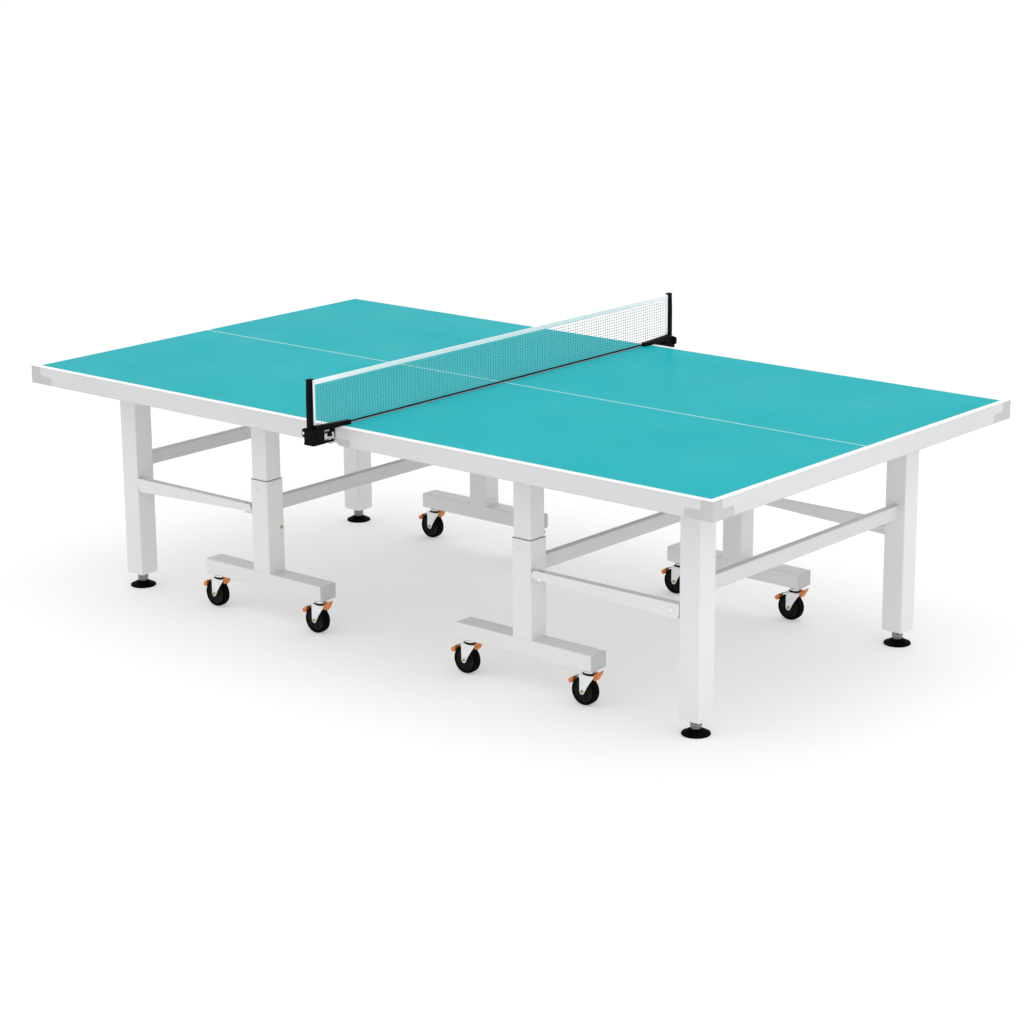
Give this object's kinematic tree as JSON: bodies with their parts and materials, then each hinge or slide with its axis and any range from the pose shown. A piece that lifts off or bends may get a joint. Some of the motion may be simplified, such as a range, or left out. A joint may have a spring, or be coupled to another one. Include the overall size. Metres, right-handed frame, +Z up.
{
  "type": "ping pong table",
  "caption": "Folding ping pong table in two rolling halves, with a teal top, grey steel aprons and legs, levelling feet, braked casters and a clamp-on net.",
  "frame": {"origin": "on the floor under the middle of the net", "axes": "+X along the table's length, +Z up"},
  "size_m": [2.74, 1.741, 0.918],
  "materials": {
    "playing_surface": "satin teal coating with white edge lines",
    "frame_paint": "light grey powder coat",
    "leg_paint": "light grey powder coat",
    "zinc": "bright zinc plate",
    "rubber": "black, matt",
    "pedal_plastic": "orange moulded",
    "clamp_plastic": "black moulded",
    "net_cord": "knotted thin dark net",
    "tape": "white woven tape"
  },
  "bodies": {
    "right_base": {"right_wheel_leg_crossbar": "leg_paint", "right_near_wheel_base": "leg_paint", "right_near_wheel_leg_upper": "leg_paint", "right_far_wheel_base": "leg_paint", "right_far_wheel_leg_upper": "leg_paint"},
    "right_top": {"right_playing_board": "playing_surface", "right_top_frame": "frame_paint", "near_net_clamp": "clamp_plastic", "near_net_post": "clamp_plastic", "far_net_clamp": "clamp_plastic", "far_net_post": "clamp_plastic", "net_mesh": "net_cord", "net_tape": "tape"},
    "right_end_legs": {"right_corner_leg_crossbar": "leg_paint", "right_near_corner_leg": "leg_paint", "right_far_corner_leg": "leg_paint"},
    "right_near_link": {"right_near_side_link": "leg_paint"},
    "right_near_foot": {"right_near_levelling_foot": "rubber"},
    "right_near_inner_fork": {"right_near_inner_caster_fork": "zinc"},
    "right_near_inner_wheel": {"right_near_inner_caster_wheel": "rubber"},
    "right_near_inner_pedal": {"right_near_inner_brake_pedal": "pedal_plastic"},
    "right_near_outer_fork": {"right_near_outer_caster_fork": "zinc"},
    "right_near_outer_wheel": {"right_near_outer_caster_wheel": "rubber"},
    "right_near_outer_pedal": {"right_near_outer_brake_pedal": "pedal_plastic"},
    "right_far_link": {"right_far_side_link": "leg_paint"},
    "right_far_foot": {"right_far_levelling_foot": "rubber"},
    "right_far_inner_fork": {"right_far_inner_caster_fork": "zinc"},
    "right_far_inner_wheel": {"right_far_inner_caster_wheel": "rubber"},
    "right_far_inner_pedal": {"right_far_inner_brake_pedal": "pedal_plastic"},
    "right_far_outer_fork": {"right_far_outer_caster_fork": "zinc"},
    "right_far_outer_wheel": {"right_far_outer_caster_wheel": "rubber"},
    "right_far_outer_pedal": {"right_far_outer_brake_pedal": "pedal_plastic"},
    "left_base": {"left_wheel_leg_crossbar": "leg_paint", "left_near_wheel_base": "leg_paint", "left_near_wheel_leg_upper": "leg_paint", "left_far_wheel_base": "leg_paint", "left_far_wheel_leg_upper": "leg_paint"},
    "left_top": {"left_playing_board": "playing_surface", "left_top_frame": "frame_paint"},
    "left_end_legs": {"left_corner_leg_crossbar": "leg_paint", "left_near_corner_leg": "leg_paint", "left_far_corner_leg": "leg_paint"},
    "left_near_link": {"left_near_side_link": "leg_paint"},
    "left_near_foot": {"left_near_levelling_foot": "rubber"},
    "left_near_inner_fork": {"left_near_inner_caster_fork": "zinc"},
    "left_near_inner_wheel": {"left_near_inner_caster_wheel": "rubber"},
    "left_near_inner_pedal": {"left_near_inner_brake_pedal": "pedal_plastic"},
    "left_near_outer_fork": {"left_near_outer_caster_fork": "zinc"},
    "left_near_outer_wheel": {"left_near_outer_caster_wheel": "rubber"},
    "left_near_outer_pedal": {"left_near_outer_brake_pedal": "pedal_plastic"},
    "left_far_link": {"left_far_side_link": "leg_paint"},
    "left_far_foot": {"left_far_levelling_foot": "rubber"},
    "left_far_inner_fork": {"left_far_inner_caster_fork": "zinc"},
    "left_far_inner_wheel": {"left_far_inner_caster_wheel": "rubber"},
    "left_far_inner_pedal": {"left_far_inner_brake_pedal": "pedal_plastic"},
    "left_far_outer_fork": {"left_far_outer_caster_fork": "zinc"},
    "left_far_outer_wheel": {"left_far_outer_caster_wheel": "rubber"},
    "left_far_outer_pedal": {"left_far_outer_brake_pedal": "pedal_plastic"},
    "near_screw": {"near_clamp_screw": "clamp_plastic"},
    "far_screw": {"far_clamp_screw": "clamp_plastic"}
  },
  "joints": [
    {"name": "right_fold", "type": "hinge", "parent": "right_base", "child": "right_top", "pos_m": [0.48, 0, 0.719], "axis": [0, -1, 0], "range_deg": [0, 90], "deforming": ["net_mesh", "net_tape"]},
    {"name": "right_end_legs_hinge", "type": "hinge", "parent": "right_top", "child": "right_end_legs", "pos_m": [0.95, 0, 0.719], "axis": [0, -1, 0], "range_deg": [-90, 0]},
    {"name": "right_near_link_hinge", "type": "hinge", "parent": "right_base", "child": "right_near_link", "pos_m": [0.608, -0.5455, 0.358], "axis": [0, -1, 0], "range_deg": [0, 90]},
    {"name": "right_near_foot_screw", "type": "slide", "parent": "right_end_legs", "child": "right_near_foot", "axis": [0, 0, 1], "range_m": [-0.02, 0]},
    {"name": "right_near_inner_swivel", "type": "hinge", "parent": "right_base", "child": "right_near_inner_fork", "pos_m": [0.313, -0.522, 0.108], "axis": [0, 0, 1], "continuous": true},
    {"name": "right_near_inner_spin", "type": "hinge", "parent": "right_near_inner_fork", "child": "right_near_inner_wheel", "pos_m": [0.296, -0.522, 0.043], "axis": [0, 1, 0], "continuous": true},
    {"name": "right_near_inner_brake", "type": "hinge", "parent": "right_near_inner_fork", "child": "right_near_inner_pedal", "pos_m": [0.296, -0.522, 0.09], "axis": [0, 1, 0], "range_deg": [0, 17]},
    {"name": "right_near_outer_swivel", "type": "hinge", "parent": "right_base", "child": "right_near_outer_fork", "pos_m": [0.767, -0.522, 0.108], "axis": [0, 0, 1], "continuous": true},
    {"name": "right_near_outer_spin", "type": "hinge", "parent": "right_near_outer_fork", "child": "right_near_outer_wheel", "pos_m": [0.75, -0.522, 0.043], "axis": [0, 1, 0], "continuous": true},
    {"name": "right_near_outer_brake", "type": "hinge", "parent": "right_near_outer_fork", "child": "right_near_outer_pedal", "pos_m": [0.75, -0.522, 0.09], "axis": [0, 1, 0], "range_deg": [0, 17]},
    {"name": "right_far_link_hinge", "type": "hinge", "parent": "right_base", "child": "right_far_link", "pos_m": [0.608, 0.5455, 0.358], "axis": [0, -1, 0], "range_deg": [0, 90]},
    {"name": "right_far_foot_screw", "type": "slide", "parent": "right_end_legs", "child": "right_far_foot", "axis": [0, 0, 1], "range_m": [-0.02, 0]},
    {"name": "right_far_inner_swivel", "type": "hinge", "parent": "right_base", "child": "right_far_inner_fork", "pos_m": [0.313, 0.522, 0.108], "axis": [0, 0, 1], "continuous": true},
    {"name": "right_far_inner_spin", "type": "hinge", "parent": "right_far_inner_fork", "child": "right_far_inner_wheel", "pos_m": [0.296, 0.522, 0.043], "axis": [0, 1, 0], "continuous": true},
    {"name": "right_far_inner_brake", "type": "hinge", "parent": "right_far_inner_fork", "child": "right_far_inner_pedal", "pos_m": [0.296, 0.522, 0.09], "axis": [0, 1, 0], "range_deg": [0, 17]},
    {"name": "right_far_outer_swivel", "type": "hinge", "parent": "right_base", "child": "right_far_outer_fork", "pos_m": [0.767, 0.522, 0.108], "axis": [0, 0, 1], "continuous": true},
    {"name": "right_far_outer_spin", "type": "hinge", "parent": "right_far_outer_fork", "child": "right_far_outer_wheel", "pos_m": [0.75, 0.522, 0.043], "axis": [0, 1, 0], "continuous": true},
    {"name": "right_far_outer_brake", "type": "hinge", "parent": "right_far_outer_fork", "child": "right_far_outer_pedal", "pos_m": [0.75, 0.522, 0.09], "axis": [0, 1, 0], "range_deg": [0, 17]},
    {"name": "half_separation", "type": "slide", "parent": "right_base", "child": "left_base", "axis": [-1, 0, 0], "range_m": [0, 0.6]},
    {"name": "left_fold", "type": "hinge", "parent": "left_base", "child": "left_top", "pos_m": [-0.48, 0, 0.719], "axis": [0, 1, 0], "range_deg": [0, 90]},
    {"name": "left_end_legs_hinge", "type": "hinge", "parent": "left_top", "child": "left_end_legs", "pos_m": [-0.95, 0, 0.719], "axis": [0, 1, 0], "range_deg": [-90, 0]},
    {"name": "left_near_link_hinge", "type": "hinge", "parent": "left_base", "child": "left_near_link", "pos_m": [-0.608, -0.5455, 0.358], "axis": [0, 1, 0], "range_deg": [0, 90]},
    {"name": "left_near_foot_screw", "type": "slide", "parent": "left_end_legs", "child": "left_near_foot", "axis": [0, 0, 1], "range_m": [-0.02, 0]},
    {"name": "left_near_inner_swivel", "type": "hinge", "parent": "left_base", "child": "left_near_inner_fork", "pos_m": [-0.313, -0.522, 0.108], "axis": [0, 0, 1], "continuous": true},
    {"name": "left_near_inner_spin", "type": "hinge", "parent": "left_near_inner_fork", "child": "left_near_inner_wheel", "pos_m": [-0.33, -0.522, 0.043], "axis": [0, 1, 0], "continuous": true},
    {"name": "left_near_inner_brake", "type": "hinge", "parent": "left_near_inner_fork", "child": "left_near_inner_pedal", "pos_m": [-0.33, -0.522, 0.09], "axis": [0, 1, 0], "range_deg": [0, 17]},
    {"name": "left_near_outer_swivel", "type": "hinge", "parent": "left_base", "child": "left_near_outer_fork", "pos_m": [-0.767, -0.522, 0.108], "axis": [0, 0, 1], "continuous": true},
    {"name": "left_near_outer_spin", "type": "hinge", "parent": "left_near_outer_fork", "child": "left_near_outer_wheel", "pos_m": [-0.784, -0.522, 0.043], "axis": [0, 1, 0], "continuous": true},
    {"name": "left_near_outer_brake", "type": "hinge", "parent": "left_near_outer_fork", "child": "left_near_outer_pedal", "pos_m": [-0.784, -0.522, 0.09], "axis": [0, 1, 0], "range_deg": [0, 17]},
    {"name": "left_far_link_hinge", "type": "hinge", "parent": "left_base", "child": "left_far_link", "pos_m": [-0.608, 0.5455, 0.358], "axis": [0, 1, 0], "range_deg": [0, 90]},
    {"name": "left_far_foot_screw", "type": "slide", "parent": "left_end_legs", "child": "left_far_foot", "axis": [0, 0, 1], "range_m": [-0.02, 0]},
    {"name": "left_far_inner_swivel", "type": "hinge", "parent": "left_base", "child": "left_far_inner_fork", "pos_m": [-0.313, 0.522, 0.108], "axis": [0, 0, 1], "continuous": true},
    {"name": "left_far_inner_spin", "type": "hinge", "parent": "left_far_inner_fork", "child": "left_far_inner_wheel", "pos_m": [-0.33, 0.522, 0.043], "axis": [0, 1, 0], "continuous": true},
    {"name": "left_far_inner_brake", "type": "hinge", "parent": "left_far_inner_fork", "child": "left_far_inner_pedal", "pos_m": [-0.33, 0.522, 0.09], "axis": [0, 1, 0], "range_deg": [0, 17]},
    {"name": "left_far_outer_swivel", "type": "hinge", "parent": "left_base", "child": "left_far_outer_fork", "pos_m": [-0.767, 0.522, 0.108], "axis": [0, 0, 1], "continuous": true},
    {"name": "left_far_outer_spin", "type": "hinge", "parent": "left_far_outer_fork", "child": "left_far_outer_wheel", "pos_m": [-0.784, 0.522, 0.043], "axis": [0, 1, 0], "continuous": true},
    {"name": "left_far_outer_brake", "type": "hinge", "parent": "left_far_outer_fork", "child": "left_far_outer_pedal", "pos_m": [-0.784, 0.522, 0.09], "axis": [0, 1, 0], "range_deg": [0, 17]},
    {"name": "near_clamp_screw_travel", "type": "slide", "parent": "right_top", "child": "near_screw", "axis": [0, 0, -1], "range_m": [0, 0.01]},
    {"name": "far_clamp_screw_travel", "type": "slide", "parent": "right_top", "child": "far_screw", "axis": [0, 0, -1], "range_m": [0, 0.01]}
  ],
  "couplings": [
    {"joint": "right_end_legs_hinge", "follows": "right_fold", "ratio": -1},
    {"joint": "right_near_link_hinge", "follows": "right_fold", "ratio": 1},
    {"joint": "right_far_link_hinge", "follows": "right_fold", "ratio": 1},
    {"joint": "left_end_legs_hinge", "follows": "left_fold", "ratio": -1},
    {"joint": "left_near_link_hinge", "follows": "left_fold", "ratio": 1},
    {"joint": "left_far_link_hinge", "follows": "left_fold", "ratio": 1}
  ]
}
